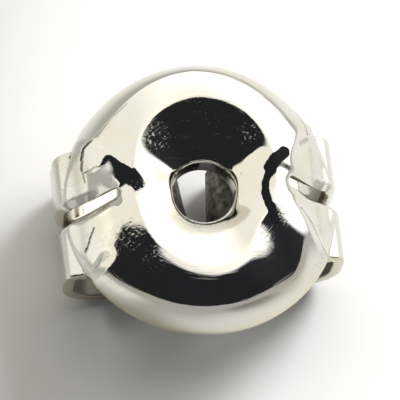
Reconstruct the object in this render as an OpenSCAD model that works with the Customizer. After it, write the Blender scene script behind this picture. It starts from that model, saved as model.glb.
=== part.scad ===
// Butterfly earring back: one sheet, stamped, pierced and rolled.
// Origin on the axis of the post, where the scrolls rest. +Z is the post's way out to the ear,
// +X runs across the two wings.

/* [Sheet] */
// Thickness of the sheet
sheet_t = 0.20; // [0.16:0.01:0.22]

/* [Face plate] */
// Outer diameter of the face plate
plate_d = 4.86; // [4.70:0.02:5.00]
// Diameter of the crest ring
ring_d = 3.18; // [3.10:0.02:3.30]
// Height of the crest ring over the rim of the plate
ring_h = 1.08; // [1.00:0.02:1.16]
// Diameter of the crest where the wings pinch it
waist_d = 2.48; // [2.36:0.02:2.56]
// Height of that pinched crest over the rim
waist_h = 1.06; // [0.96:0.02:1.10]
// Angle from a wing's middle over which that pinch fades
pinch_angle = 54; // [50:1:58]

/* [Post hole] */
// Diameter of the hole for the post
hole_d = 1.10; // [1.00:0.02:1.20]
// Height of the hole's lip over the rim of the plate
lip_h = 0.62; // [0.56:0.02:0.66]
// Depth of the drawn neck below the lip
neck_l = 0.50; // [0.44:0.02:0.52]
// Wall of the neck
neck_wall = 0.15; // [0.12:0.01:0.18]

/* [Wing channels] */
// Distance from the post's axis to the point where each wing's channel starts
channel_start = 0.90; // [0.86:0.01:0.94]
// Half width that the channel gains with each millimetre
channel_spread = 0.58; // [0.52:0.02:0.64]
// Rise of its walls with each millimetre across
channel_slope = 1.45; // [1.30:0.05:1.60]

/* [Wings] */
// Width of each wing where it leaves the plate
wing_w = 2.30; // [2.20:0.02:2.40]
// Width of each wing at its rolled end
tip_w = 1.90; // [1.70:0.02:2.10]
// Reach of each wing from the axis of the post
wing_reach = 2.46; // [2.42:0.02:2.50]
// Outer radius of the bend at the plate's edge
bend_r = 0.50; // [0.46:0.01:0.54]
// Straight stretch below that bend
side_l = 0.40; // [0.34:0.02:0.46]
// Distance from the post's axis to the inner end of the slot
slot_start = 1.49; // [1.46:0.01:1.56]
// Width of the slot between the two legs of a wing
slot_w = 0.20; // [0.16:0.01:0.24]
// Depth to which the legs dip beside the slot
slot_dip = 0.24; // [0.18:0.01:0.26]

/* [Scrolls] */
// Outer radius of the turn onto the resting face
low_r = 0.72; // [0.68:0.01:0.76]
// Outer radius of the scroll beside the post
curl_r = 0.52; // [0.48:0.01:0.54]
// Outer radius of the scroll's last turn
tip_r = 0.37; // [0.35:0.01:0.39]
// Angle of the scroll's last turn
tip_turn = 140; // [110:5:150]
// Gap between the two scrolls, where they grip the post
grip_gap = 0.44; // [0.38:0.02:0.50]

/* [Hidden] */
$fn = 64;

plate_r = plate_d / 2;
ring_r = ring_d / 2;
waist_r = waist_d / 2;
hole_r = hole_d / 2;
wing_half = wing_w / 2;

// The rim stands at the height of the scroll below it
rim_z = bend_r + side_l + low_r;
// The lip's rounded entry, and how far it drops before the bore
lip_r = hole_r + 0.07;
lip_drop = 0.07;

// Each pair is a value across the wings, then the value in the middle of a wing.
// The shoulder is an arc: how far along it leaves the crest, and how full it is
shoulder_start = [0.02, 0.44];
shoulder_full = [3.1, 1.75];
// Where along that arc the rim ends
rim_share = 0.97;
// The dish climbs to the crest ever more gently: 1 would be a straight cone
dish_curve = 1.42;
// Where a channel opens out to the wing's own width, by how much, and where its floor comes level
channel_widens = [1.50, 2.15];
channel_widening = 0.45;
channel_end = 2.30;
// Rounding of the channel's foot, and of the edge between it and the ring
foot_round = 0.20;
edge_round = 0.29;
// Between these ways along the sheet that rounding fades out, and the wing goes on at its own level
edge_fades = [2.00, 2.60];
// The dip beside the slot grows between the first two of these ways along the sheet,
// narrows between the next two, and is gone after the last two
dip_grows = [1.20, 1.95];
dip_narrows = [1.60, 2.30];
dip_ends = [3.20, 4.20];
// Half width of the dip before and after it narrows
dip_half = [0.30, 0.25];
// How far the scrolls swell towards the post in their middle
scroll_crown = 0.05;

// One wing's centre line on the outer face, from the axis out and round to its end.
// Each row is a length and the radius of its turn, with 0 for a straight stretch.
low_x = wing_reach - low_r;
centre_line = [
    [wing_reach - bend_r, 0],
    [bend_r * PI / 2, bend_r],
    [side_l, 0],
    [low_r * PI / 2, low_r],
    [low_x - curl_r - grip_gap / 2, 0],
    [curl_r * PI, curl_r],
    [tip_r * tip_turn * PI / 180, tip_r]
];

// A place on the centre line is its x, its z and its heading below the horizontal
function walk(from, way, radius) =
    radius == 0
    ? [from.x + way * cos(from.z), from.y - way * sin(from.z), from.z]
    : let (
        turn = way / radius * 180 / PI,
        mid_x = from.x - radius * sin(from.z),
        mid_z = from.y - radius * cos(from.z),
        heading = from.z + turn
    )
    [mid_x + radius * sin(heading), mid_z + radius * cos(heading), heading];

// Each stretch's start: the way walked so far, and the place
stretch_starts = [
    for (
        k = 0, way = 0, place = [0, rim_z, 0];
        k < len(centre_line);
        way = way + centre_line[k][0],
        place = walk(place, centre_line[k][0], centre_line[k][1]),
        k = k + 1
    )
    [way, place]
];
wing_l = stretch_starts[len(stretch_starts) - 1][0] + centre_line[len(centre_line) - 1][0];
scroll_from = stretch_starts[5][0];

function place_at(way) =
    let (k = max([for (i = [0 : len(stretch_starts) - 1]) if (stretch_starts[i][0] <= way) i]))
    walk(stretch_starts[k][1], way - stretch_starts[k][0], centre_line[k][1]);

function clamp01(u) = min(1, max(0, u));
function ease(u) = let (v = clamp01(u)) v * v * (3 - 2 * v);
// Grows smoothly from 0 to 1 between the two places of a span
function grown(place, span) = ease((place - span[0]) / (span[1] - span[0]));

function between(pair, share) = pair[0] + (pair[1] - pair[0]) * share;
function arc(share, fullness) = sqrt(max(0, 1 - pow(share, fullness)));
// The lower of two surfaces, with their meeting line rounded
function lower_of(a, b, rounding) =
    let (near = max(0, rounding - abs(a - b)) / rounding)
    min(a, b) - near * near * rounding / 4;

// The channel that a wing cuts into the ring: its floor runs down from the waist to the wing
function channel(way, side) =
    let (
        floor_h = waist_h * (1 + cos(180 * clamp01((way - waist_r) / (channel_end - waist_r)))) / 2,
        half = (way - channel_start) * channel_spread + channel_widening * grown(way, channel_widens),
        past = side - half,
        lift = past > foot_round ? past : pow(max(0, past + foot_round), 2) / (4 * foot_round)
    )
    floor_h + channel_slope * lift;

// Height of the stamped relief over the flat sheet, at a place on the sheet
function relief(x, y) =
    let (
        r = norm([x, y]),
        way = abs(x),
        side = abs(y),
        pinch = exp(-pow(atan2(side, way) / pinch_angle, 2)),
        crest_r = between([ring_r, waist_r], pinch),
        crest_h = between([ring_h, waist_h], pinch),
        start = between(shoulder_start, pinch),
        full = between(shoulder_full, pinch),
        climb = (max(r, hole_r - 0.02) - lip_r) / (crest_r - lip_r),
        rise = climb < 0 ? dish_curve * climb : 1 - pow(1 - min(1, climb), dish_curve),
        entry = lip_drop * pow(clamp01((lip_r - r) / (lip_r - hole_r)), 2),
        dish = lip_h + (crest_h - lip_h) * rise - entry,
        share = start + (rim_share - start) * clamp01((r - crest_r) / (plate_r - crest_r)),
        foot = arc(rim_share, full),
        shoulder = crest_h * (arc(share, full) - foot) / (arc(start, full) - foot),
        cut = lower_of(r < crest_r ? dish : shoulder, channel(way, side), edge_round),
        face = cut + edge_round / 4 * grown(way, edge_fades),
        fade = between(dip_half, grown(way, dip_narrows)),
        dip = slot_dip * grown(way, dip_grows) * (1 - grown(way, dip_ends)) * (1 - ease(side / fade)),
        swell = scroll_crown * grown(way, [scroll_from, scroll_from + curl_r]) * (1 - pow(2 * y / tip_w, 2))
    )
    face - dip + max(0, swell);

// The outer face: the relief stands on the centre line's own normal
function outer_at(x, y) =
    let (place = place_at(abs(x)), rise = relief(x, y))
    [sign(x) * (place.x + rise * sin(place.z)), y, place.y + rise * cos(place.z)];

// The inner face lies one sheet below the outer one
probe = 0.01;
function inner_at(x, y) =
    let (
        along = outer_at(x + probe, y) - outer_at(x - probe, y),
        across = outer_at(x, y + probe) - outer_at(x, y - probe),
        up = cross(along, across)
    )
    outer_at(x, y) - sheet_t * up / norm(up);

// Places across a wing, as shares of its half width, closer together beside the slot
wing_shares = [
    -1, -0.83, -0.66, -0.50, -0.36, -0.23, -0.13,
    0.13, 0.23, 0.36, 0.50, 0.66, 0.83, 1
];
columns = len(wing_shares);
// Steps round the plate between the wings, across the plate, and along a wing
arc_steps = 18;
ring_steps = 15;
row_steps = 32;

// Angles round the plate: right wing, far arc, left wing, near arc
wing_angle = asin(wing_half / plate_r);
function share_angle(share) = asin(share * wing_half / plate_r);
angles = concat(
    [for (share = wing_shares) share_angle(share)],
    [for (k = [1 : arc_steps - 1]) wing_angle + (180 - 2 * wing_angle) * k / arc_steps],
    [for (share = wing_shares) 180 + share_angle(share)],
    [for (k = [1 : arc_steps - 1]) 180 + wing_angle + (180 - 2 * wing_angle) * k / arc_steps]
);
sides = len(angles);
left_first = columns + arc_steps - 1;

// Rings from inside the bore to the rim. The first ones follow the lip and the neck.
core_r = hole_r - 0.12;
neck_r = hole_r + neck_wall;
neck_foot = rim_z + lip_h - neck_l;
flank_r = neck_r + 0.10;
outer_radii = concat(
    [core_r, hole_r + 0.01, hole_r + 0.04, lip_r, flank_r],
    [for (k = [1 : ring_steps]) plate_r - (plate_r - flank_r) * pow(1 - k / ring_steps, 1.2)]
);
neck_profile = [
    [core_r, neck_foot],
    [neck_r - 0.04, neck_foot],
    [neck_r, neck_foot + 0.05],
    [neck_r + 0.02, rim_z + lip_h - sheet_t]
];
rings = len(outer_radii);

outer_rings = [
    for (radius = outer_radii)
    for (angle = angles)
    outer_at(radius * cos(angle), radius * sin(angle))
];
inner_rings = [
    for (k = [0 : rings - 1])
    for (angle = angles)
    k < len(neck_profile)
    ? [neck_profile[k].x * cos(angle), neck_profile[k].x * sin(angle), neck_profile[k].y]
    : inner_at(outer_radii[k] * cos(angle), outer_radii[k] * sin(angle))
];

// Rows along a wing go on from the plate's round edge. Side is 1 for the right wing, -1 for the left.
function row_place(side, row, share) =
    let (
        edge_y = share * wing_half,
        edge_x = sqrt(plate_r * plate_r - edge_y * edge_y),
        u = row / row_steps
    )
    [side * (edge_x + (wing_l - edge_x) * u), side * (edge_y + share * (tip_w - wing_w) / 2 * u)];

outer_rows = [
    for (side = [1, -1])
    for (row = [1 : row_steps])
    for (share = wing_shares)
    let (at = row_place(side, row, share))
    outer_at(at.x, at.y)
];
inner_rows = [
    for (side = [1, -1])
    for (row = [1 : row_steps])
    for (share = wing_shares)
    let (at = row_place(side, row, share))
    inner_at(at.x, at.y)
];

sheet_points = concat(
    outer_rings,
    outer_rows,
    [[0, 0, rim_z + lip_h - lip_drop]],
    inner_rings,
    inner_rows,
    [[0, 0, neck_foot]]
);

// Point numbers: each face holds its rings, then its rows, then the middle of its core
face_points = rings * sides + 2 * row_steps * columns + 1;
function ring_point(ring, k) = ring * sides + k % sides;
function row_point(wing, row, column) =
    row == 0
    ? ring_point(rings - 1, (wing == 0 ? 0 : left_first) + column)
    : rings * sides + (wing * row_steps + row - 1) * columns + column;
core_point = face_points - 1;

// Two triangles on four points, split along the shorter diagonal
function quad(a, b, c, d) =
    norm(sheet_points[a] - sheet_points[c]) <= norm(sheet_points[b] - sheet_points[d])
    ? [[a, b, c], [a, c, d]]
    : [[a, b, d], [b, c, d]];
function on_inner_side(face) = [face[0] + face_points, face[2] + face_points, face[1] + face_points];
function flat_list(lists) = [for (list = lists) each list];

// The faces of the outer side
ring_faces = flat_list([
    for (ring = [0 : rings - 2])
    for (k = [0 : sides - 1])
    quad(ring_point(ring, k), ring_point(ring, k + 1), ring_point(ring + 1, k + 1), ring_point(ring + 1, k))
]);
row_faces = flat_list([
    for (wing = [0, 1])
    for (row = [0 : row_steps - 1])
    for (column = [0 : columns - 2])
    quad(
        row_point(wing, row, column),
        row_point(wing, row, column + 1),
        row_point(wing, row + 1, column + 1),
        row_point(wing, row + 1, column)
    )
]);
core_faces = [for (k = [0 : sides - 1]) [core_point, ring_point(0, k + 1), ring_point(0, k)]];
outer_faces = concat(ring_faces, row_faces, core_faces);

// The sheet's outline, in order: down one side of a wing, across its end, back up and on round the plate
function wing_outline(wing) = concat(
    [for (row = [0 : row_steps]) row_point(wing, row, 0)],
    [for (column = [1 : columns - 1]) row_point(wing, row_steps, column)],
    [for (row = [row_steps - 1 : -1 : 0]) row_point(wing, row, columns - 1)]
);
outline = concat(
    wing_outline(0),
    [for (k = [columns : left_first - 1]) ring_point(rings - 1, k)],
    wing_outline(1),
    [for (k = [left_first + columns : sides - 1]) ring_point(rings - 1, k)]
);
edge_faces = flat_list([
    for (k = [0 : len(outline) - 1])
    let (a = outline[k], b = outline[(k + 1) % len(outline)])
    quad(a, b, b + face_points, a + face_points)
]);

module stamped_sheet() {
    polyhedron(
        points = sheet_points,
        faces = concat(outer_faces, [for (face = outer_faces) on_inner_side(face)], edge_faces),
        convexity = 12
    );
}

module post_bore() {
    translate([0, 0, neck_foot - 0.3])
        cylinder(h = neck_l + 0.6, r = hole_r);
}

module slot(side) {
    slot_end = wing_reach + 0.5;
    top_z = rim_z + ring_h + 0.5;
    translate([side * (slot_start + slot_w / 2), 0, -0.5])
        cylinder(h = top_z + 0.5, r = slot_w / 2);
    translate([side > 0 ? slot_start + slot_w / 2 : -slot_end, -slot_w / 2, -0.5])
        cube([slot_end - slot_start - slot_w / 2, slot_w, top_z + 0.5]);
}

module butterfly_back() {
    color("gainsboro")
        difference() {
            stamped_sheet();
            post_bore();
            slot(1);
            slot(-1);
        }
}

butterfly_back();
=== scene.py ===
import math

import bpy
import numpy as np
from mathutils import Matrix, Vector


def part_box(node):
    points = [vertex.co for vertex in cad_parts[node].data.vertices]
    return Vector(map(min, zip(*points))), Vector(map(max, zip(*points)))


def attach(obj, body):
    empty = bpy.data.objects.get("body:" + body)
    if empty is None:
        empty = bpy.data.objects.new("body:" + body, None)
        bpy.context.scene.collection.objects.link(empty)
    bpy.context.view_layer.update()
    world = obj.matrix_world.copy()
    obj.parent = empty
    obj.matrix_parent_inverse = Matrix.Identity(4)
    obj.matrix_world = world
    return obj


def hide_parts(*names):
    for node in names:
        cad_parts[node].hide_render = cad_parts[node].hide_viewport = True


# A butterfly earring back: one polished sheet of white gold, stamped, pierced and rolled.
# Sizes are in millimetres until a mesh is made, which turns them into metres.

mm = 0.001

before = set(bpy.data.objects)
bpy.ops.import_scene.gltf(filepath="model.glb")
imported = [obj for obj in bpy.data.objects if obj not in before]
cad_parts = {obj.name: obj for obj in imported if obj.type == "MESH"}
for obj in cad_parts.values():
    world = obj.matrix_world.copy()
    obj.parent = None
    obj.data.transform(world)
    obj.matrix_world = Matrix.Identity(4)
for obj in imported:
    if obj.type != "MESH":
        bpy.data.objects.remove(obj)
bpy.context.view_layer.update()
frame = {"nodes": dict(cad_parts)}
print("frame loaded:", ", ".join(frame["nodes"]))

# the reach along X and Y comes from the solid
_, boxHigh = (np.array(corner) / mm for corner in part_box("butterfly_back"))

# the path that each wing follows, seen from the front
wingPath = {
    "reach": boxHigh[0],      # from the post out to the bend's outer face
    "bendRadius": 0.50,       # at the plate's edge
    "sideLength": 0.40,       # straight stretch under the bend
    "lowRadius": 0.72,        # turn onto the resting face
    "curlRadius": 0.52,       # scroll beside the post
    "tipRadius": 0.37,        # last turn, inside the scroll
    "tipTurn": 140,           # degrees
    "gripGap": 0.44,          # between the two scrolls, before their crowns narrow it
}
rimHeight = wingPath["bendRadius"] + wingPath["sideLength"] + wingPath["lowRadius"]

# the stamped face: where there are two numbers, the first is towards the wings and the second across them
facePlate = {
    "radius": boxHigh[1],
    "thickness": 0.20,
    "edgeRound": 0.03,
    "crestRadius": (1.59, 1.24),
    "crestHeight": (1.08, 1.06),
    "dishCurve": (1.42, 1.10),        # 1 would be a straight cone
    "lipRise": 0.14,                  # the lip stands this much higher towards the wings
    "shoulderStart": (0.02, 0.44),    # how steeply the shoulder leaves the crest
    "shoulderFullness": (3.1, 1.75),
    "pinchAngle": 54,                 # degrees
    "rimShare": 0.97,                 # how nearly upright the rim ends
    "farBulge": 0.07,                 # the rim's far side reaches out this much more
}

# the channel that each wing cuts into the ring
channel = {
    "start": 0.90,
    "spread": 0.58,           # half width gained with each millimetre
    "widens": (1.50, 2.15),   # where it opens out to the width of the wing
    "widening": 0.45,
    "wallSlope": 1.45,
    "footRound": 0.20,
    "edgeRound": 0.29,
    "edgeFades": (2.00, 2.60),
    "end": 2.30,
}

postHole = {
    "radius": 0.55,
    "lipHeight": 0.62,
    "lipRound": 0.09,
    "neckLength": 0.50,
    "neckWall": 0.15,
    "footRound": 0.04,
    "flankRadius": 0.82,      # where the neck meets the underside
    "flankDip": 0.03,         # how far below it the fillet's corner lies
}

wing = {
    "rootHalf": 1.15,
    "tipHalf": 0.95,
    "flare": 0.07,            # fillet between the rim and the wing's side
    "slotStart": 1.49,
    "slotHalf": 0.10,
    "slotDip": 0.24,
    "dipGrows": (1.20, 1.95),
    "dipNarrows": (1.60, 2.30),
    "dipEnds": (3.20, 4.20),
    "dipHalf": (0.30, 0.25),
    "scrollCrown": 0.05,      # each scroll stands out this much more in its middle
    "scrollBarrel": (0.08, 0.40),   # how far the scrolls' sides fall away, and from which half width
    "barrelGrows": (0.40, 1.20),    # past the scroll's start
    "scrollLean": 0.05,       # both scrolls sit a little to the right of the hole
    "squaring": 0.90,         # the mesh's rows are straight this far past the plate
}

# where the press did not close evenly, by direction from the hole in degrees:
# half width, how much tighter the crest is, how much sooner the shoulder falls
unevenness = [
    (-46, 22, 0.24, 0.00),
    (-39, 26, 0.00, 0.38),
    (-140, 14, 0.00, 0.18),
]

# the right channel starts a little sooner, aside of the middle, and its near wall stands higher
rightChannel = {
    "sooner": 0.09,
    "soonerFades": (1.20, 1.70),
    "aside": -0.175,
    "asideFades": (0.90, 1.35),
    "wallAt": 1.45,
    "wallHalf": 0.31,
    "wallHigher": 0.11,
    "wallGrows": (-0.30, -1.10),
    "wallEnds": (-1.10, -1.90),
}

# how finely the sheet is cut into faces
fineness = {
    "dishRings": 34,
    "capSteps": 7,
    "shoulderRings": 40,
    "acrossHalfWing": 20,
    "roundArc": 120,
    "rowsToSlotEnd": 62,
    "rowsToTip": 66,
    "edgeSteps": 6,
    "neckSteps": 8,           # down the bore, and one less round its lip
    "footSteps": 4,
}


def clamp01(value):
    return np.clip(value, 0.0, 1.0)


def eased(value, start, end):
    share = clamp01((value - start) / (end - start))
    return share * share * (3 - 2 * share)


def pathStretches():
    p = wingPath
    lowRun = p["reach"] - p["lowRadius"] - p["curlRadius"] - p["gripGap"] / 2
    quarter = math.pi / 2
    return [                                   # length, radius of its turn
        (p["reach"] - p["bendRadius"], 0),
        (p["bendRadius"] * quarter, p["bendRadius"]),
        (p["sideLength"], 0),
        (p["lowRadius"] * quarter, p["lowRadius"]),
        (lowRun, 0),
        (p["curlRadius"] * math.pi, p["curlRadius"]),
        (p["tipRadius"] * math.radians(p["tipTurn"]), p["tipRadius"]),
    ]


def stepAlong(x, z, heading, length, radius):
    if radius == 0:
        return x + length * np.cos(heading), z - length * np.sin(heading), heading + 0 * length
    midX, midZ = x - radius * np.sin(heading), z - radius * np.cos(heading)
    turned = heading + length / radius
    return midX + radius * np.sin(turned), midZ + radius * np.cos(turned), turned


def stretchStarts():
    starts, way, place = [], 0.0, (0.0, rimHeight, 0.0)
    for length, radius in pathStretches():
        starts.append((way, place, length, radius))
        place = stepAlong(*place, length, radius)
        way += length
    return starts, way


pathStarts, wingLength = stretchStarts()
lowRunWay, scrollWay = pathStarts[4][0], pathStarts[5][0]
slotEnd = lowRunWay + (wingPath["reach"] - wingPath["lowRadius"] - wing["slotStart"])


def pathPlace(way):
    x, z, heading = (np.zeros_like(way) for _ in range(3))
    for start, place, length, radius in pathStarts:
        here = way >= start - 1e-9
        stepX, stepZ, stepHeading = stepAlong(*place, np.clip(way - start, 0, length), radius)
        x, z = np.where(here, stepX, x), np.where(here, stepZ, z)
        heading = np.where(here, stepHeading, heading)
    return x, z, heading


def shoulderArc(share, fullness):
    return np.sqrt(np.maximum(0, 1 - share ** fullness))


def lowerOf(first, second, rounding):
    # the lower of two surfaces, with their meeting line rounded
    near = np.maximum(0, rounding - np.abs(first - second)) / rounding
    return np.minimum(first, second) - near * near * rounding / 4


def channelHeight(x, y):
    c, right = channel, rightChannel
    way, onRight = np.abs(x), x > 0
    sooner = np.where(onRight, right["sooner"] * (1 - eased(way, *right["soonerFades"])), 0)
    middle = np.where(onRight, right["aside"] * (1 - eased(way, *right["asideFades"])), 0)
    crestR, crestH = facePlate["crestRadius"][1], facePlate["crestHeight"][1]
    floor = crestH * (1 + np.cos(math.pi * clamp01((way - crestR) / (c["end"] - crestR)))) / 2
    half = (way - c["start"] + sooner) * c["spread"] + c["widening"] * eased(way, *c["widens"])
    past, soft = np.abs(y - middle) - half, c["footRound"]
    lift = np.where(past > soft, past, np.maximum(0, past + soft) ** 2 / (4 * soft))
    return floor + c["wallSlope"] * lift


def relief(x, y):
    # height of the stamped face over the flat sheet
    plate, hole, right = facePlate, postHole, rightChannel
    r, way, side = np.hypot(x, y), np.abs(x), np.abs(y)
    pinch = np.exp(-(np.degrees(np.arctan2(side, way)) / plate["pinchAngle"]) ** 2)
    crestR, crestH, start, fullness, curve = (
        plate[name][0] + (plate[name][1] - plate[name][0]) * pinch
        for name in ("crestRadius", "crestHeight", "shoulderStart", "shoulderFullness", "dishCurve")
    )
    direction = np.degrees(np.arctan2(y, x))
    for towards, halfWidth, tighter, steeper in unevenness:
        near = np.exp(-(((direction - towards + 180) % 360 - 180) / halfWidth) ** 2)
        crestR, start = crestR - tighter * near, start + steeper * near
    lipR = hole["radius"] + hole["lipRound"]
    climb = np.minimum(1, (r - lipR) / (crestR - lipR))
    rise = np.where(climb < 0, curve * climb, 1 - (1 - np.maximum(climb, 0)) ** curve)
    lip = hole["lipHeight"] + plate["lipRise"] * pinch ** 3
    dish = lip + (crestH - lip) * rise
    share = start + (plate["rimShare"] - start) * clamp01((r - crestR) / (plate["radius"] - crestR))
    top, foot = shoulderArc(start, fullness), shoulderArc(plate["rimShare"], fullness)
    shoulder = crestH * (shoulderArc(share, fullness) - foot) / (top - foot)
    higher = right["wallHigher"] * np.exp(-((x - right["wallAt"]) / right["wallHalf"]) ** 2)
    higher = higher * eased(y, *right["wallGrows"]) * (1 - eased(y, *right["wallEnds"]))
    face = lowerOf(np.where(r < crestR, dish, shoulder) + higher, channelHeight(x, y), channel["edgeRound"])
    face = face + channel["edgeRound"] / 4 * eased(way, *channel["edgeFades"])
    wide, narrow = wing["dipHalf"]
    dipHalf = wide + (narrow - wide) * eased(way, *wing["dipNarrows"])
    dip = wing["slotDip"] * eased(way, *wing["dipGrows"]) * (1 - eased(way, *wing["dipEnds"]))
    dip = dip * (1 - eased(np.abs(y) / dipHalf, 0, 1))
    crown = wing["scrollCrown"] * eased(way, scrollWay, scrollWay + wingPath["curlRadius"])
    crown = crown * np.maximum(0, 1 - (y / wing["tipHalf"]) ** 2)
    fall, barrelHalf = wing["scrollBarrel"]
    barrel = fall * (1 - np.exp(-(y / barrelHalf) ** 2))
    barrelFrom, barrelWhole = wing["barrelGrows"]
    crown = crown - barrel * eased(way, scrollWay + barrelFrom, scrollWay + barrelWhole)
    return face - dip + crown


def outerFace(x, y):
    pathX, pathZ, heading = pathPlace(np.abs(x))
    lean = wing["scrollLean"] * eased(np.abs(x), lowRunWay, scrollWay)
    height = relief(x, y)
    return np.stack([
        np.sign(x) * (pathX + height * np.sin(heading)) + lean,
        y + facePlate["farBulge"] * eased(y, wing["rootHalf"], facePlate["radius"]),
        pathZ + height * np.cos(heading),
    ], -1)


def faceNormal(x, y):
    probe = 0.004
    r = np.hypot(x, y)
    limit = facePlate["radius"] - 1.5 * probe
    onRim = (r > limit) & (np.abs(y) > wing["rootHalf"] + wing["flare"] - 0.01)
    shrink = np.where(onRim, limit / np.maximum(r, 1e-6), 1.0)
    x, y = x * shrink, y * shrink
    along = outerFace(x + probe, y) - outerFace(x - probe, y)
    across = outerFace(x, y + probe) - outerFace(x, y - probe)
    up = np.cross(along, across)
    return up / np.linalg.norm(up, axis=-1, keepdims=True)


def slotLine(way):
    # half width of the slot, with round ends, where the flat faces stop
    half = wing["slotHalf"] + facePlate["edgeRound"]
    start = wing["slotStart"] - facePlate["edgeRound"]
    end = slotEnd + facePlate["edgeRound"]
    inside = np.minimum(way - start, end - way)
    bow = half * half - np.clip(half - inside, 0, half) ** 2
    return np.where(inside <= 0, 0, np.sqrt(np.maximum(bow, 0)))


def sideLine(way, root):
    narrower = (wing["tipHalf"] - wing["rootHalf"]) * clamp01((way - root) / (wingLength - root))
    fillet = 1 - clamp01((way - root) / wing["flare"])
    wider = wing["flare"] * (1 - np.sqrt(1 - fillet ** 2))
    return wing["rootHalf"] + narrower - facePlate["edgeRound"] + wider


def ringRadii():
    f, hole = fineness, postHole
    half = wing["slotHalf"] + facePlate["edgeRound"]
    capStart = wing["slotStart"] - facePlate["edgeRound"]
    inner = np.linspace(hole["radius"] + hole["lipRound"], capStart, f["dishRings"] + 1)
    cap = capStart + half * (1 - np.cos(np.linspace(0, math.pi / 2, f["capSteps"] + 1)))
    outer = np.linspace(cap[-1], facePlate["radius"], f["shoulderRings"] + 1)
    return np.concatenate([inner, cap[1:], outer[1:]])


def rowWays():
    f = fineness
    half = wing["slotHalf"] + facePlate["edgeRound"]
    capEnd = slotEnd + facePlate["edgeRound"]
    first = np.linspace(facePlate["radius"], capEnd - half, f["rowsToSlotEnd"] + 1)
    cap = capEnd - half * (1 - np.sin(np.linspace(0, math.pi / 2, f["capSteps"] + 1)))
    last = np.linspace(capEnd, wingLength - facePlate["edgeRound"], f["rowsToTip"] + 1)
    return np.concatenate([first[1:], cap[1:], last[1:]])


def sheetGrid():
    # the flat blank, as rings round the hole and rows down each wing
    radii, ways, n = ringRadii(), rowWays(), fineness["acrossHalfWing"]
    rootY = wing["rootHalf"] + wing["flare"] - facePlate["edgeRound"]
    rootAngle = math.asin(rootY / facePlate["radius"])
    rootWay = math.sqrt(facePlate["radius"] ** 2 - rootY ** 2)
    shares = np.arange(n + 1) / n
    lines = [(-1, s) for s in shares[::-1]] + [(1, s) for s in shares]      # near half, far half
    arc = rootAngle + (math.pi - 2 * rootAngle) * np.arange(1, fineness["roundArc"]) / fineness["roundArc"]

    def wingRing(r, side):
        order = lines if side > 0 else lines[::-1]
        half = np.array([h for h, _ in order])
        share = np.array([s for _, s in order])
        y = half * (slotLine(r) + (r * math.sin(rootAngle) - slotLine(r)) * share)
        return side * np.sqrt(r * r - y * y), y

    ringsX, ringsY = [], []
    for r in radii:
        rightX, rightY = wingRing(r, 1)
        leftX, leftY = wingRing(r, -1)
        ringsX.append(np.concatenate([rightX, r * np.cos(arc), leftX, -r * np.cos(arc)]))
        ringsY.append(np.concatenate([rightY, r * np.sin(arc), leftY, -r * np.sin(arc)]))
    spokes = len(ringsX[0])
    wide = len(lines)
    leftFirst = wide + len(arc)
    planX, planY = [np.concatenate(ringsX)], [np.concatenate(ringsY)]
    quads = []
    for i in range(len(radii) - 1):
        for j in range(spokes):
            if j in (n, leftFirst + n):          # the slot lies between these two spokes
                continue
            k = (j + 1) % spokes
            quads.append((i * spokes + j, (i + 1) * spokes + j, (i + 1) * spokes + k, i * spokes + k))
    joined = {}
    for i, r in enumerate(radii):
        if slotLine(r) == 0:
            joined[i * spokes + n] = i * spokes + n + 1
            joined[i * spokes + leftFirst + n] = i * spokes + leftFirst + n + 1
    total = len(radii) * spokes
    for side, first in ((1, 0), (-1, leftFirst)):
        order = lines if side > 0 else lines[::-1]
        lastRing = (len(radii) - 1) * spokes + first
        before = [lastRing + j for j in range(wide)]
        edgeX = np.abs(ringsX[-1][first:first + wide])
        for way in ways:
            # the rows straighten as they leave the round plate
            bow = 1 - eased(way, facePlate["radius"], facePlate["radius"] + wing["squaring"])
            rowX = way - (facePlate["radius"] - edgeX) * bow
            inner, outer = slotLine(rowX), sideLine(rowX, rootWay)
            half = np.array([h for h, _ in order])
            share = np.array([s for _, s in order])
            planX.append(side * rowX)
            planY.append(half * (inner + (outer - inner) * share))
            now = [total + j for j in range(wide)]
            total += wide
            if slotLine(np.array(way)) == 0:
                joined[now[n]] = now[n + 1]
            for j in range(wide - 1):
                if j != n:
                    quads.append((before[j], now[j], now[j + 1], before[j + 1]))
            before = now
    quads = np.array(quads)
    remap = np.arange(total)
    for old, new in joined.items():
        remap[old] = new
    return np.concatenate(planX), np.concatenate(planY), remap[quads], spokes


def openLoops(quads, count):
    # edges with a face on one side only, followed round in order
    starts = quads.ravel()
    ends = np.roll(quads, -1, axis=1).ravel()
    forward, backward = starts * count + ends, ends * count + starts
    alone = ~np.isin(forward, backward)
    following = dict(zip(starts[alone].tolist(), ends[alone].tolist()))
    loops = []
    while following:
        first, here = next(iter(following.items()))
        loop = [first]
        del following[first]
        while here != first:
            loop.append(here)
            here = following.pop(here)
        loops.append(np.array(loop))
    return loops


def roundedEdge(points, normals, loop):
    # strips of points from the outer face round the cut edge to the inner one
    steps, depth, bulge = fineness["edgeSteps"], facePlate["thickness"], facePlate["edgeRound"]
    here, up = points[loop], normals[loop]
    tangent = np.roll(here, -1, axis=0) - np.roll(here, 1, axis=0)
    outward = np.cross(tangent, up)
    outward = outward / np.maximum(np.linalg.norm(outward, axis=1, keepdims=True), 1e-9)
    strips = []
    for k in range(1, steps):
        level = math.cos(math.pi * k / steps)
        level = math.copysign(abs(level) ** 0.6, level)      # fuller than a half circle
        out = (1 - abs(level) ** 3) ** (1 / 3)
        strips.append(here - up * depth * (1 - level) / 2 + outward * bulge * out)
    return strips


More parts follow.
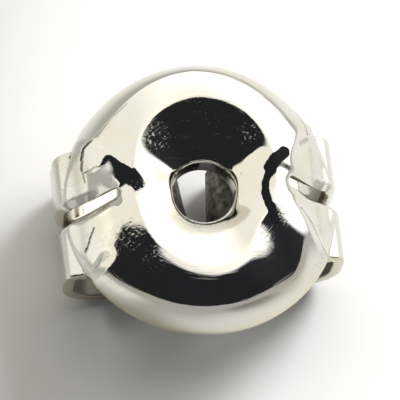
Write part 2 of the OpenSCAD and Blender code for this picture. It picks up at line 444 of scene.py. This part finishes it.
def neckStrips(lipRing, lipNormals, flankRing, angles):
    hole, rounding = postHole, postHole["footRound"]
    steps, footSteps = fineness["neckSteps"], fineness["footSteps"]
    inward = np.stack([-np.cos(angles), -np.sin(angles), np.zeros_like(angles)], 1)
    slope = -np.sum(lipNormals * inward, 1) / lipNormals[:, 2]
    strips = []
    # the dish rolls over into the bore on its own slope
    corner = lipRing + inward * hole["lipRound"]
    corner[:, 2] += slope * hole["lipRound"]
    start = corner - np.array([0, 0, hole["lipRound"]])
    for t in np.linspace(0, 1, steps)[1:]:
        strips.append(lipRing * (1 - t) ** 2 + corner * 2 * t * (1 - t) + start * t * t)
    footZ = rimHeight + hole["lipHeight"] - hole["neckLength"]
    boreR, wallR = hole["radius"], hole["radius"] + hole["neckWall"]
    for t in np.linspace(0, 1, steps + 1)[1:]:
        wall = start.copy()
        wall[:, 2] = start[:, 2] + (footZ + rounding - start[:, 2]) * t
        strips.append(wall)
    # round the neck's foot
    turns = [math.pi / 2 * k / footSteps for k in range(footSteps + 1)]
    falls = [(rounding * (1 - math.cos(turn)), rounding * (1 - math.sin(turn))) for turn in turns]
    profile = [(boreR + out, footZ + up) for out, up in falls[1:]]
    profile += [(wallR - out, footZ + up) for up, out in falls]
    for r, z in profile:
        strips.append(np.stack([r * np.cos(angles), r * np.sin(angles), np.full_like(angles, z)], 1))
    start = strips[-1]
    corner = np.stack([wallR * np.cos(angles), wallR * np.sin(angles), flankRing[:, 2] - hole["flankDip"]], 1)
    for t in np.linspace(0, 1, steps)[1:-1]:
        strips.append(start * (1 - t) ** 2 + corner * 2 * t * (1 - t) + flankRing * t * t)
    return strips


def stampedSheet():
    planX, planY, quads, spokes = sheetGrid()
    count = len(planX)
    outer = outerFace(planX, planY)
    normals = faceNormal(planX, planY)
    inner = outer - normals * facePlate["thickness"]
    radii = ringRadii()
    flank = int(np.searchsorted(radii, postHole["flankRadius"]))
    points = [outer, inner]
    # shares that the material reads: the painted shade, the edge's colour, matt
    # painted shade inside the rolls on the outer face, and on the underside near the hole and in the rolls
    rollFrom, rollWhole = finish["rollShade"]
    rolledIn = eased(np.abs(planX), scrollWay + rollFrom, scrollWay + rollWhole)
    underPlate = 1 - eased(np.abs(planX), *finish["underEnds"]) + rolledIn
    rimFrom, rimWhole = (radii[-1] - inwards for inwards in finish["rimLine"])
    rimLine = finish["cutEdge"] * eased(np.hypot(planX, planY), rimFrom, rimWhole)
    rimLine = rimLine * (np.abs(planY) > wing["rootHalf"])
    paintedShadeShares, edgeShares = [rolledIn, underPlate], [rimLine, np.zeros(count)]
    tumbled = finish["wingMatt"] * eased(np.abs(planX), *finish["wingMattGrows"])
    mattShares = [np.maximum(tumbled, rolledIn), np.ones(count)]
    faces = [quads, (quads[np.min(quads, axis=1) >= flank * spokes] + count)[:, ::-1]]
    total = 2 * count

    def bridge(firstIds, secondIds):
        after = np.roll(firstIds, -1), np.roll(secondIds, -1)
        faces.append(np.stack([firstIds, secondIds, after[1], after[0]], 1))

    for loop in openLoops(quads, count):
        if np.hypot(planX[loop], planY[loop]).max() < wing["slotStart"] / 2:
            # the neck, from the hole's lip down and back to the dish's underside
            last = loop + flank * spokes + count
            angles = np.arctan2(planY[loop], planX[loop])
            strips = neckStrips(outer[loop], normals[loop], inner[last - count], angles)
            # painted shade down the bore, growing towards the neck's foot
            paintedShadeNow = finish["boreShade"] * clamp01(np.linspace(*finish["boreDarkens"], len(strips)))
            edgeNow = 0.0
        else:
            last = loop + count
            strips = roundedEdge(outer, normals, loop)
            # a little painted shade round each cut edge
            paintedShadeNow = np.full(len(strips), finish["cutShade"])
            edgeNow = finish["cutEdge"]
        before = loop
        for strip, paintedShadeShare in zip(strips, paintedShadeNow):
            now = np.arange(total, total + len(strip))
            points.append(strip)
            paintedShadeShares.append(np.full(len(strip), paintedShadeShare))
            edgeShares.append(np.full(len(strip), edgeNow))
            mattShares.append(np.full(len(strip), finish["cutMatt"] * edgeNow + paintedShadeShare))
            total += len(strip)
            bridge(before, now)
            before = now
        bridge(before, last)
    points, faces = np.concatenate(points), np.concatenate(faces)
    used = np.zeros(total, bool)
    used[faces.ravel()] = True
    renumber = np.cumsum(used) - 1
    shares = [np.concatenate(lists)[used] for lists in (paintedShadeShares, edgeShares, mattShares)]
    return points[used] * mm, renumber[faces], shares


# the finish: lengths in millimetres
finish = {
    "colour": (0.70, 0.685, 0.65, 1),
    "warmColour": (0.69, 0.655, 0.575, 1),    # faint patches where the bright plating is thin
    "paintedShadeColour": (0.09, 0.08, 0.065, 1),   # inside the rolls, left as it came from the press
    "edgeColour": (0.72, 0.66, 0.50, 1),      # painted shade inside the rolls, under the plate, down the bore and round the cut edges; the dark creases and arcs use it too
    "cutEdge": 0.8,                           # share of the edge's colour at a cut
    "cutShade": 0.15,                         # share of the painted shade there
    "cutMatt": 0.3,
    "rimLine": (0.05, 0.01),                  # the rim shows the edge's colour over this width
    "boreShade": 0.55,                        # how dark the painted shade is at the neck's foot
    "boreDarkens": (-0.8, 2.2),               # from the lip on, held between 0 and 1
    "rollShade": (0.10, 0.80),                # the painted shade in the rolls grows past the scroll's start
    "underEnds": (0.90, 1.50),                # the painted shade on the underside fades here, out from the hole
    "patches": (0.9, 3.0),                    # size and detail of the warm patches
    "patchRange": (0.42, 0.66),               # part of the noise in which they grow
    "mottle": (0.11, 4.0),                    # size and detail of the unevenness in the painted shade
    "mottleRange": (0.35, 0.65, 0.78, 1.0),   # part of the noise, and the shares there
    "roughness": 0.03,
    "insideRoughness": 0.45,                  # the underside was never polished
    "scratchMatt": 0.12,
    "patchMatt": 0.03,
    "speckMatt": 0.55,
    "markMatt": 0.35,
    "markHeight": (1.25, 1.40),               # the press's marks lie on the face above this height
    "markFades": (0.6, 0.8),                  # and not on matt parts
    "wingMatt": 0.38,                         # the wings' share of the underside's roughness
    "wingMattGrows": (1.55, 2.10),            # from the hole
    "gleamSlant": 0.47,                       # painted highlight, a bright band on the rolls' floor: how it turns outwards
    "gleamAside": -0.04,                      # and to one side
    "gleamGrows": (1.39, 1.43),               # where it starts across the wing
    "gleamOut": (1.20, 1.35),                 # and how far out from the hole
    "gleamTop": (0.26, 0.42),                 # how high up the wall it fades
    "gleamLean": (0.0, 0.60, 0.0),
    "swell": (0.75, 0.0035),                  # size and height of the slow unevenness
    "grain": (0.06, 0.00022),                 # size and height of the press grain
    "scratches": ((20, 0.006), (75, 0.005), (140, 0.007)),     # angle and width of each family
    "scratchDepth": 0.00012,
    "scratchTilt": (0.3, 0.2),                # radians out of the plate's plane
    "scratchStretch": (0.9, 0.12),            # along them and across, the second for each width
    "scratchRare": (0.665, 0.70),
    "scratchCoarse": (0.55, 10),              # size of the noise that breaks them, and its growth
    "scratchBroken": (0.47, 0.60),
    "specks": (0.050, 0.0022),                # size and depth
    "speckRare": (0.54, 0.74),
    "pits": (0.15, 0.26, 0.0022),             # spacing, share of it that is open, depth
    "pitFloor": 0.35,                         # flat share of a pit
    "pitRare": (0.55, 0.75),
    "turning": (0.018, 0.0006),               # width and depth of the fine marks round the hole
    "turningRare": (0.50, 0.72),
    "turningBroken": (0.6, 0.35, 0.65),       # size of the noise that breaks them, and its part
    "wander": (1 / 9, 0.05),                  # size and reach of the unsteadiness of the creases
    "wornSpots": (                            # where the pits and specks are: x, y, radius, strength
        (-0.72, 0.90, 0.36, 1.0),
        (-1.10, -0.05, 0.42, 0.9),
        (-1.55, -0.85, 0.50, 0.8),
        (-1.10, -1.40, 0.50, 0.4),
        (0.10, 0.95, 0.95, 0.45),
        (0.80, 0.85, 0.30, 0.8),
        (1.18, -0.66, 0.34, 0.35),
        (0.85, -1.15, 0.40, 0.4),
    ),
    "pressFolds": (                           # half width, core, lean there, then the points they pass
        (0.120, 0.50, (0.0, -0.34, 0.0), ((1.42, 0.50), (1.27, 0.36), (1.13, 0.20))),
        (0.075, 0.45, (0.0, -0.45, 0.0), ((1.13, 0.20), (1.04, -0.03), (1.01, -0.24))),
        (0.095, 0.45, (0.0, -0.75, 0.0), ((1.01, -0.24), (1.03, -0.48), (1.10, -0.78))),
        (0.150, 0.55, (0.0, 0.26, 0.0), ((0.74, 0.22), (0.86, 0.36), (1.02, 0.44))),
        (0.150, 0.55, (0.0, 0.26, 0.0), ((-0.76, 0.26), (-0.90, 0.38), (-1.02, 0.44))),
        (0.210, 0.10, (0.60, 0.28, 0.35), ((-1.88, 0.95), (-1.79, 0.82), (-1.76, 0.68))),
        (0.280, 0.10, (0.55, 0.30, 0.35), ((-1.76, -0.30), (-1.74, -0.50), (-1.79, -0.76), (-1.87, -1.00))),
        (0.200, 0.30, (0.0, 0.60, 0.0), ((-1.79, -1.09), (-1.88, -1.17), (-1.98, -1.24))),
        (0.100, 0.30, (0.0, 0.45, 0.0), ((-1.64, 0.25), (-1.55, 0.16))),
        (0.170, 0.40, (0.0, 0.95, 0.0), ((-1.92, 0.14), (-2.10, 0.14), (-2.28, 0.15))),
        (0.150, 0.40, (0.0, 0.95, 0.0), ((2.07, 0.14), (2.25, 0.15))),
        (0.120, 0.50, (0.0, -0.30, 0.0), (
            (-1.64, 0.60), (-1.45, 0.38), (-1.29, 0.18), (-1.18, 0.02), (-1.14, -0.12),
        )),
    ),
    "wornCore": 0.3,                          # share of the radius that is worn in full
    "arcEnds": (0.72, 0.90),                  # shares of the radius between which an arc fades in
    "arcs": (                                 # middle, radius, half width, darkness, direction of the side on which the arc lies
        ((0.05, 0.10), 1.42, 0.012, 0.30, (0.75, 0.65)),
        ((-0.02, 0.05), 1.60, 0.010, 0.22, (0.30, 0.95)),
        ((0.00, 0.02), 1.30, 0.010, 0.20, (-0.80, 0.60)),
    ),
    "creases": (                              # half width, depth, darkness of the painted shade along them, then the points they pass
        (0.016, 0.002, 0.35, ((-1.19, 1.60), (-1.43, 1.42), (-1.60, 1.28), (-1.85, 1.07))),
        (0.034, 0.012, 0.85, ((-1.85, 1.07), (-1.96, 1.02), (-2.01, 0.85), (-2.02, 0.68))),
        (0.020, 0.006, 0.55, ((-2.02, 0.68), (-2.00, 0.44))),
        (0.022, 0.004, 0.35, ((-2.00, 0.62), (-1.84, 0.62), (-1.68, 0.53))),
        (0.022, 0.010, 0.70, ((-1.93, -0.44), (-2.02, -0.63), (-2.10, -0.81))),
        (0.018, 0.006, 0.55, ((1.80, 1.45), (1.90, 1.22), (1.97, 1.01))),
        (0.050, 0.008, 0.45, ((1.96, 0.94), (1.76, 0.73))),
        (0.030, 0.008, 0.40, ((1.62, -0.49), (1.84, -0.68))),
        (0.016, 0.006, 0.50, ((1.84, -0.68), (1.95, -0.94), (2.07, -1.18))),
    ),
}


def addNode(tree, kind, settings=None, **inputs):
    node = tree.nodes.new(kind)
    for name, value in (settings or {}).items():
        setattr(node, name, value)
    for name, value in inputs.items():
        socket = node.inputs[int(name[1:])] if name[0] == "_" else node.inputs[name]
        if isinstance(value, bpy.types.NodeSocket):
            tree.links.new(value, socket)
        else:
            socket.default_value = value
    return node


def calculate(tree, operation, first, second=0.0):
    return addNode(tree, "ShaderNodeMath", {"operation": operation}, _0=first, _1=second).outputs[0]


def vectorMath(tree, operation, first, second=(0, 0, 0)):
    return addNode(tree, "ShaderNodeVectorMath", {"operation": operation}, _0=first, _1=second)


def scaled(tree, vector, share):
    node = addNode(tree, "ShaderNodeVectorMath", {"operation": "SCALE"}, _0=vector, Scale=share)
    return node.outputs[0]


def distance(tree, first, second):
    return vectorMath(tree, "DISTANCE", first, second).outputs["Value"]


def product(tree, first, *others):
    for other in others:
        first = calculate(tree, "MULTIPLY", first, other)
    return first


def spread(tree, value, low, high, start=0.0, end=1.0):
    node = addNode(tree, "ShaderNodeMapRange", {"interpolation_type": "SMOOTHSTEP"}, Value=value)
    for name, number in (("From Min", low), ("From Max", high), ("To Min", start), ("To Max", end)):
        node.inputs[name].default_value = number
    return node.outputs["Result"]


def noise(tree, place, size, detail=2.0):
    node = addNode(tree, "ShaderNodeTexNoise", Vector=place, Scale=1 / size, Detail=detail)
    return node.outputs["Fac"]


def mixColours(tree, share, first, second):
    node = addNode(tree, "ShaderNodeMix", {"data_type": "RGBA"})
    for name, value in (("Factor_Float", share), ("A_Color", first), ("B_Color", second)):
        socket = next(socket for socket in node.inputs if socket.identifier == name)
        if isinstance(value, bpy.types.NodeSocket):
            tree.links.new(value, socket)
        else:
            socket.default_value = value
    return next(socket for socket in node.outputs if socket.identifier == "Result_Color")


def scratchLines(tree, place, angle, width):
    # long thin streaks, broken up by a coarser noise
    turned = addNode(tree, "ShaderNodeMapping", Vector=place)
    turned.inputs["Rotation"].default_value = (*finish["scratchTilt"], math.radians(angle))
    along, across = finish["scratchStretch"]
    turned.inputs["Scale"].default_value = (along, across / width, along)
    lines = spread(tree, noise(tree, turned.outputs[0], 1.0, 1.0), *finish["scratchRare"])
    coarseSize, growth = finish["scratchCoarse"]
    coarse = noise(tree, place, coarseSize + width * growth)
    return product(tree, lines, spread(tree, coarse, *finish["scratchBroken"]))


def pitHoles(tree, place, spacing, openShare):
    cells = addNode(tree, "ShaderNodeTexVoronoi", Vector=place, Scale=1 / spacing)
    floorShare = openShare * finish["pitFloor"]
    hollow = spread(tree, cells.outputs["Distance"], floorShare, openShare, 1.0, 0.0)
    chosen = addNode(tree, "ShaderNodeSeparateColor", Color=cells.outputs["Color"]).outputs[0]
    return product(tree, hollow, spread(tree, chosen, *finish["pitRare"]))


def creaseShare(tree, flat, halfWidth, points, core=0.0):
    # 1 on the line through the points, 0 beyond its half width
    share = None
    for first, second in zip(points[:-1], points[1:]):
        along = Vector((second[0] - first[0], second[1] - first[1], 0))
        fromStart = vectorMath(tree, "SUBTRACT", flat, (first[0], first[1], 0)).outputs[0]
        part = vectorMath(tree, "DOT_PRODUCT", fromStart, along / along.length_squared)
        part = addNode(tree, "ShaderNodeClamp", Value=part.outputs["Value"]).outputs[0]
        gap = distance(tree, fromStart, scaled(tree, along, part))
        one = spread(tree, gap, core, halfWidth, 1.0, 0.0)
        share = one if share is None else calculate(tree, "MAXIMUM", share, one)
    return share


def leaned(tree, normal, lean, share):
    return vectorMath(tree, "ADD", normal, scaled(tree, lean, share)).outputs[0]


def foldedNormal(tree, flat, upper, normal):
    for halfWidth, core, lean, points in finish["pressFolds"]:
        share = creaseShare(tree, flat, halfWidth, points, halfWidth * core)
        normal = leaned(tree, normal, lean, product(tree, share, upper))
    return vectorMath(tree, "NORMALIZE", normal).outputs[0]


def slotGleam(tree, place):
    # 1 on the far half of the rolls' floor below each slot: a painted highlight that lifts the painted shade
    # there, and leans to the light behind
    x, y, z = addNode(tree, "ShaderNodeSeparateXYZ", Vector=place).outputs
    out = calculate(tree, "ABSOLUTE", x)
    across = calculate(tree, "ADD", y, product(tree, out, finish["gleamSlant"]))
    across = calculate(tree, "ADD", across, product(tree, x, finish["gleamAside"]))
    low = spread(tree, z, *finish["gleamTop"], 1, 0)
    outer = spread(tree, out, *finish["gleamOut"])
    return product(tree, spread(tree, across, *finish["gleamGrows"]), low, outer)


def wornPlaces(tree, flat):
    share = None
    for x, y, radius, strength in finish["wornSpots"]:
        away = distance(tree, flat, (x, y, 0))
        one = spread(tree, away, radius * finish["wornCore"], radius, strength, 0.0)
        share = one if share is None else calculate(tree, "MAXIMUM", share, one)
    return share


def turningMarks(tree, place, flat):
    # fine rings round the hole, each broken up along its way
    away = vectorMath(tree, "LENGTH", flat).outputs["Value"]
    towards = vectorMath(tree, "NORMALIZE", flat).outputs[0]
    x, y, _ = addNode(tree, "ShaderNodeSeparateXYZ", Vector=towards).outputs
    rings = calculate(tree, "DIVIDE", away, finish["turning"][0])
    where = addNode(tree, "ShaderNodeCombineXYZ", X=rings, Y=x, Z=y).outputs[0]
    marks = spread(tree, noise(tree, where, 1.0), *finish["turningRare"])
    size, low, high = finish["turningBroken"]
    return product(tree, marks, spread(tree, noise(tree, place, size), low, high))


# thin dark arcs, mixed in with the same dark colour as the painted shade
def darkArcs(tree, colour, flat):
    for middle, radius, halfWidth, darkness, side in finish["arcs"]:
        fromMiddle = vectorMath(tree, "SUBTRACT", flat, (*middle, 0)).outputs[0]
        away = vectorMath(tree, "LENGTH", fromMiddle).outputs["Value"]
        past = calculate(tree, "ABSOLUTE", calculate(tree, "SUBTRACT", away, radius))
        towards = vectorMath(tree, "DOT_PRODUCT", fromMiddle, (*side, 0)).outputs["Value"]
        near = spread(tree, towards, *(radius * end for end in finish["arcEnds"]))
        share = product(tree, spread(tree, past, 0, halfWidth, 1, 0), near, darkness)
        colour = mixColours(tree, share, colour, finish["paintedShadeColour"])
    return colour


# the plating's warm patches and the cut edges' own colour, then painted shade, mottled, where the mesh asks
# for it
def wornAndShadedColour(tree, place, inside):
    patches = spread(tree, noise(tree, place, *finish["patches"]), *finish["patchRange"])
    colour = mixColours(tree, patches, finish["colour"], finish["warmColour"])
    cutEdge = addNode(tree, "ShaderNodeAttribute", {"attribute_name": "edgeShare"}).outputs["Fac"]
    colour = mixColours(tree, cutEdge, colour, finish["edgeColour"])
    mottled = spread(tree, noise(tree, place, *finish["mottle"]), *finish["mottleRange"])
    return mixColours(tree, product(tree, inside, mottled), colour, finish["paintedShadeColour"]), patches


def wavyPlace(tree, place, flat):
    # the place on the flat face, a little unsteady, so that no crease runs quite straight
    size, reach = finish["wander"]
    wander = addNode(tree, "ShaderNodeTexNoise", Vector=place, Scale=1 / size, Detail=2.0).outputs["Color"]
    wavy = vectorMath(tree, "ADD", flat, scaled(tree, wander, reach)).outputs[0]
    wavy = vectorMath(tree, "SUBTRACT", wavy, (reach / 2, reach / 2, 0)).outputs[0]
    return vectorMath(tree, "MULTIPLY", wavy, (1, 1, 0)).outputs[0]


def polishedWhiteGold():
    material = bpy.data.materials.new("polishedWhiteGold")
    material.use_nodes = True
    tree = material.node_tree
    tree.nodes.clear()
    output = addNode(tree, "ShaderNodeOutputMaterial")
    shader = addNode(tree, "ShaderNodeBsdfPrincipled", Metallic=1.0)
    metres = addNode(tree, "ShaderNodeTexCoord").outputs["Object"]
    place = scaled(tree, metres, 1 / mm)
    flat = vectorMath(tree, "MULTIPLY", place, (1, 1, 0)).outputs[0]
    wavy = wavyPlace(tree, place, flat)

    gleam = slotGleam(tree, place)
    # the painted highlight: inside the gleam the painted shade and the underside's roughness are left out
    dull = calculate(tree, "SUBTRACT", 1, gleam)
    # share of painted shade, carried on the mesh
    inside = addNode(tree, "ShaderNodeAttribute", {"attribute_name": "paintedShadeShare"}).outputs["Fac"]
    matt = addNode(tree, "ShaderNodeAttribute", {"attribute_name": "mattShare"}).outputs["Fac"]
    colour, patches = wornAndShadedColour(tree, place, product(tree, inside, dull))

    # the press's marks, on the upper face alone: creases, which are real hollows with painted shade along
    # them, and dark arcs
    z = addNode(tree, "ShaderNodeSeparateXYZ", Vector=place).outputs[2]
    bright = spread(tree, matt, *finish["markFades"], 1.0, 0.0)
    upper = product(tree, spread(tree, z, *finish["markHeight"]), bright)
    creases = [
        (product(tree, creaseShare(tree, wavy, halfWidth, points), upper), depth, darkness)
        for halfWidth, depth, darkness, points in finish["creases"]
    ]
    # painted shade along each crease, in the painted shade's colour
    for crease, _, darkness in creases:
        colour = mixColours(tree, product(tree, crease, darkness), colour, finish["paintedShadeColour"])
    colour = darkArcs(tree, colour, wavy)

    scratches = None
    for angle, width in finish["scratches"]:
        lines = scratchLines(tree, place, angle, width)
        scratches = lines if scratches is None else calculate(tree, "MAXIMUM", scratches, lines)
    pits = pitHoles(tree, place, *finish["pits"][:2])
    pitted = wornPlaces(tree, flat)
    specks = spread(tree, noise(tree, place, finish["specks"][0]), *finish["speckRare"])
    marks = turningMarks(tree, place, flat)

    height = product(tree, noise(tree, place, finish["swell"][0]), finish["swell"][1])
    grain = product(tree, noise(tree, place, finish["grain"][0], 3.0), finish["grain"][1])
    height = calculate(tree, "ADD", height, grain)
    hollows = [
        (scratches, finish["scratchDepth"]),
        (marks, finish["turning"][1]),
        (product(tree, pits, pitted), finish["pits"][2]),
        (product(tree, specks, pitted), finish["specks"][1]),
    ]
    for hollow, depth in hollows + [(crease, depth) for crease, depth, _ in creases]:
        height = calculate(tree, "SUBTRACT", height, product(tree, hollow, depth))
    bump = addNode(tree, "ShaderNodeBump", Height=height, Distance=mm, Strength=1.0).outputs["Normal"]

    roughness = finish["roughness"]
    for rough in (
        product(tree, scratches, finish["scratchMatt"]),
        product(tree, patches, finish["patchMatt"]),
        product(tree, specks, pitted, finish["speckMatt"]),
        product(tree, marks, pitted, finish["markMatt"]),
        product(tree, matt, dull, finish["insideRoughness"]),
    ):
        roughness = calculate(tree, "ADD", roughness, rough)
    normal = foldedNormal(tree, wavy, upper, leaned(tree, bump, finish["gleamLean"], gleam))
    tree.links.new(colour, shader.inputs["Base Color"])
    tree.links.new(roughness, shader.inputs["Roughness"])
    tree.links.new(normal, shader.inputs["Normal"])
    tree.links.new(shader.outputs["BSDF"], output.inputs["Surface"])
    return material


def makeSheet():
    points, faces, shares = stampedSheet()
    mesh = bpy.data.meshes.new("stampedSheet")
    mesh.from_pydata(points.tolist(), [], faces.tolist())
    mesh.validate()
    for name, values in zip(("paintedShadeShare", "edgeShare", "mattShare"), shares):
        mesh.attributes.new(name, "FLOAT", "POINT").data.foreach_set("value", values)
    mesh.polygons.foreach_set("use_smooth", [True] * len(mesh.polygons))
    mesh.materials.append(polishedWhiteGold())
    piece = bpy.data.objects.new("stampedSheet", mesh)
    bpy.context.scene.collection.objects.link(piece)
    print("sheet:", len(mesh.polygons), "faces")
    return piece


sheetPiece = makeSheet()
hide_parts("butterfly_back")
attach(sheetPiece, "root")

# the photograph's view: angles in degrees, lengths in millimetres, the lip's pixel in the picture
view = {
    "azimuth": -20.5,
    "elevation": 68,
    "roll": 15.2,
    "distance": 80,
    "pixelsPerMm": 58,
    "lipPixel": (204, 190),
    "pictureSize": 400,
    "sensor": 36,
    "clip": (1, 10000),
}


def placeCamera():
    azimuth, elevation, roll = (math.radians(view[key]) for key in ("azimuth", "elevation", "roll"))
    back = Vector((
        math.sin(azimuth) * math.cos(elevation),
        -math.cos(azimuth) * math.cos(elevation),
        math.sin(elevation),
    ))
    level = Vector((math.cos(azimuth), math.sin(azimuth), 0))
    upright = back.cross(level)
    right = level * math.cos(roll) + upright * math.sin(roll)
    up = upright * math.cos(roll) - level * math.sin(roll)
    middle = view["pictureSize"] / 2
    aside = (middle - view["lipPixel"][0]) / view["pixelsPerMm"]
    above = (view["lipPixel"][1] - middle) / view["pixelsPerMm"]
    lip = Vector((0, 0, rimHeight + postHole["lipHeight"]))
    place = (lip + right * aside + up * above + back * view["distance"]) * mm
    camera = bpy.data.cameras.new("photoCamera")
    camera.sensor_width = view["sensor"]
    camera.lens = view["sensor"] * view["distance"] * view["pixelsPerMm"] / view["pictureSize"]
    camera.clip_start, camera.clip_end = (limit * mm for limit in view["clip"])
    holder = bpy.data.objects.new("photoCamera", camera)
    holder.matrix_world = Matrix((
        (right.x, up.x, back.x, place.x),
        (right.y, up.y, back.y, place.y),
        (right.z, up.z, back.z, place.z),
        (0, 0, 0, 1),
    ))
    bpy.context.scene.collection.objects.link(holder)
    bpy.context.scene.camera = holder
    print("camera placed")


studio = {
    "floorSize": 80,          # millimetres
    "floorColour": (0.80, 0.805, 0.785),
    "floorRoughness": 0.9,
    "paintedPoolMiddle": (4.5, 1.5, 0),    # middle of a pool of light painted on the table
    "floorFalls": (5, 12),    # the painted light fades between these radii
    "floorFar": 0.5,          # to this share
    "paintedTableLight": (         # painted patches of light and shadow on the table, out of the picture, seen in the metal: middle, radius, share
        ((-10, -3, 0), 7.0, 2.1),
        ((6, -8.5, 0), 5.5, 0.5),
    ),
    "patchCore": 0.3,         # share of a patch's radius that is at its full strength
    "darkAzimuth": -3,        # degrees: the camera's side of the room is dark
    "darkness": 0.021,
    "darkColour": (0.80, 0.87, 0.95, 1),
    "edgeAt": (-0.13, -0.04), # how far past the middle the dark side starts, and where it is whole
    "tentStrengths": (1.22, 2.0),
    "tentGrows": (0.15, 0.80),
    "tentBrightSide": (0.75, 0.62, 0.1),
    "tentColour": (1.0, 0.985, 0.91, 1),
    "lamps": (                # name, place and size in millimetres, watts, colour
        ("windowLamp", (186, 174, 156), 138, 1.06, (1.0, 1.0, 1.03)),
        ("fillLamp", (-10, -70, 70), 90, 0.009, (1.0, 1.0, 0.97)),
    ),
}


def layFloor():
    half = studio["floorSize"] / 2 * mm
    mesh = bpy.data.meshes.new("tableTop")
    corners = [(-half, -half, 0), (half, -half, 0), (half, half, 0), (-half, half, 0)]
    mesh.from_pydata(corners, [], [(0, 1, 2, 3)])
    floor = bpy.data.objects.new("tableTop", mesh)
    bpy.context.scene.collection.objects.link(floor)
    material = bpy.data.materials.new("paleTable")
    material.use_nodes = True
    shader = material.node_tree.nodes["Principled BSDF"]
    shader.inputs["Roughness"].default_value = studio["floorRoughness"]
    tree = material.node_tree
    place = addNode(tree, "ShaderNodeTexCoord").outputs["Object"]
    place = scaled(tree, place, 1 / mm)
    # painted pool of light: the table's colour fades out from its middle
    away = distance(tree, place, studio["paintedPoolMiddle"])
    share = spread(tree, away, *studio["floorFalls"], 1.0, studio["floorFar"])
    # painted patches of light and shadow on the table, seen in the metal
    for middle, radius, strength in studio["paintedTableLight"]:
        fromMiddle = distance(tree, place, middle)
        patch = spread(tree, fromMiddle, radius * studio["patchCore"], radius, strength, 1.0)
        share = product(tree, share, patch)
    tree.links.new(scaled(tree, studio["floorColour"], share), shader.inputs["Base Color"])
    mesh.materials.append(material)
    print("table laid")


def lightStudio():
    scene = bpy.context.scene
    world = bpy.data.worlds.new("studioTent")
    world.use_nodes = True
    tree = world.node_tree
    tree.nodes.clear()
    output = tree.nodes.new("ShaderNodeOutputWorld")
    backdrop = tree.nodes.new("ShaderNodeBackground")
    where = tree.nodes.new("ShaderNodeTexCoord")
    azimuth = math.radians(studio["darkAzimuth"])
    darkWay = (math.sin(azimuth), -math.cos(azimuth), 0)
    brightWay = Vector(studio["tentBrightSide"]).normalized()
    direction = where.outputs["Generated"]
    towardsDark = vectorMath(tree, "DOT_PRODUCT", direction, darkWay).outputs["Value"]
    towardsBright = vectorMath(tree, "DOT_PRODUCT", direction, brightWay).outputs["Value"]
    tent = spread(tree, towardsBright, *studio["tentGrows"], *studio["tentStrengths"])
    paleShare = spread(tree, towardsDark, *studio["edgeAt"], 1.0, studio["darkness"])
    darkShare = spread(tree, towardsDark, *studio["edgeAt"])
    tinted = mixColours(tree, darkShare, studio["tentColour"], studio["darkColour"])
    tree.links.new(tinted, backdrop.inputs["Color"])
    tree.links.new(product(tree, tent, paleShare), backdrop.inputs["Strength"])
    tree.links.new(backdrop.outputs["Background"], output.inputs["Surface"])
    scene.world = world
    for name, place, size, power, colour in studio["lamps"]:
        lamp = bpy.data.lights.new(name, "AREA")
        lamp.shape = "DISK"
        lamp.size = size * mm
        lamp.energy = power
        lamp.color = colour
        holder = bpy.data.objects.new(name, lamp)
        holder.location = Vector(place) * mm
        holder.rotation_mode = "QUATERNION"
        holder.rotation_quaternion = Vector(place).to_track_quat("Z", "Y")
        holder.visible_glossy = False
        scene.collection.objects.link(holder)
    scene.view_settings.view_transform = "Standard"
    scene.view_settings.look = "None"
    print("studio lit")


layFloor()
placeCamera()
lightStudio()
